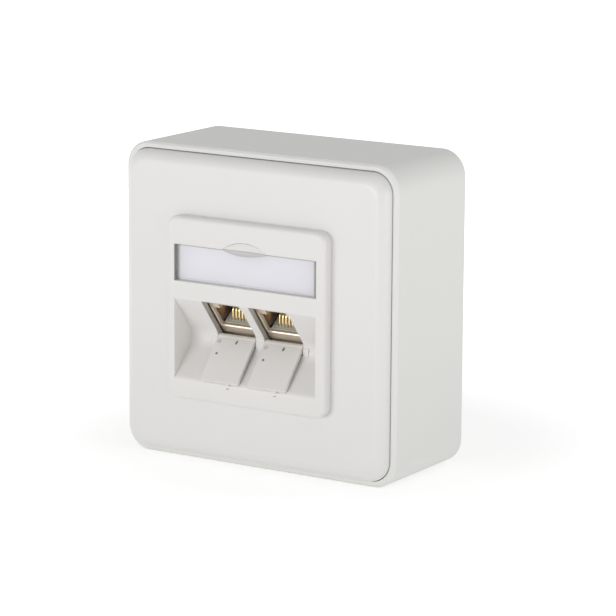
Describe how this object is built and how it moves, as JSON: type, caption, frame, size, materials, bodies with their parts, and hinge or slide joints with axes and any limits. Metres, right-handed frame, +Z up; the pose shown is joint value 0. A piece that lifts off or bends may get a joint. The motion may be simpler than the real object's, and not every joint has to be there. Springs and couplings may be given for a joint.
{
  "type": "surface mount jack box",
  "caption": "Square surface box with a rounded cover frame, a slanted recess with shielded network jacks, dust flaps and a label window.",
  "frame": {"origin": "centre of the wall face of the housing", "axes": "+X to the right seen from the front, +Y into the wall, so the front looks along -Y, +Z up"},
  "size_m": [0.086, 0.0428, 0.086],
  "materials": {
    "housing_white": "fine satin",
    "frame_white": "satin",
    "plate_white": "satin",
    "flap_white": "fine satin",
    "clear_window": "clear",
    "blank_paper": "matt",
    "carrier_zinc": "cast, satin",
    "screw_steel": "zinc plated",
    "shell_nickel": "nickel plated",
    "insert_plastic": "satin",
    "contact_gold": "gold plated",
    "board_green": "lacquered",
    "idc_plastic": "satin",
    "idc_bronze": "tinned",
    "cap_plastic": "satin",
    "clamp_steel": "plain",
    "latch_steel": "spring temper"
  },
  "bodies": {
    "housing": {"back_box": "housing_white", "cover_frame": "frame_white", "centre_plate": "plate_white", "label_paper": "blank_paper", "jack_carrier": "carrier_zinc", "carrier_screws": "screw_steel", "plate_screws": "screw_steel", "jack_shell_left": "shell_nickel", "jack_insert_left": "insert_plastic", "jack_contacts_left": "contact_gold", "jack_board_left": "board_green", "idc_block_left": "idc_plastic", "idc_contacts_left": "idc_bronze", "wire_cap_left": "cap_plastic", "cable_clamp_left": "clamp_steel", "jack_latch_left": "latch_steel", "jack_shell_right": "shell_nickel", "jack_insert_right": "insert_plastic", "jack_contacts_right": "contact_gold", "jack_board_right": "board_green", "idc_block_right": "idc_plastic", "idc_contacts_right": "idc_bronze", "wire_cap_right": "cap_plastic", "cable_clamp_right": "clamp_steel", "jack_latch_right": "latch_steel"},
    "flap_left": {"dust_flap_left": "flap_white"},
    "flap_right": {"dust_flap_right": "flap_white"},
    "label_cover": {"label_window": "clear_window"}
  },
  "joints": [
    {"name": "flap_left_hinge", "type": "hinge", "parent": "housing", "child": "flap_left", "pos_m": [-0.0075, -0.03299, -0.0089], "axis": [-1, 0, 0], "range_deg": [0, 100.5]},
    {"name": "flap_right_hinge", "type": "hinge", "parent": "housing", "child": "flap_right", "pos_m": [0.0075, -0.03299, -0.0089], "axis": [-1, 0, 0], "range_deg": [0, 100.5]},
    {"name": "label_window_pull", "type": "slide", "parent": "housing", "child": "label_cover", "axis": [0, -1, 0], "range_m": [0, 0.012]}
  ]
}
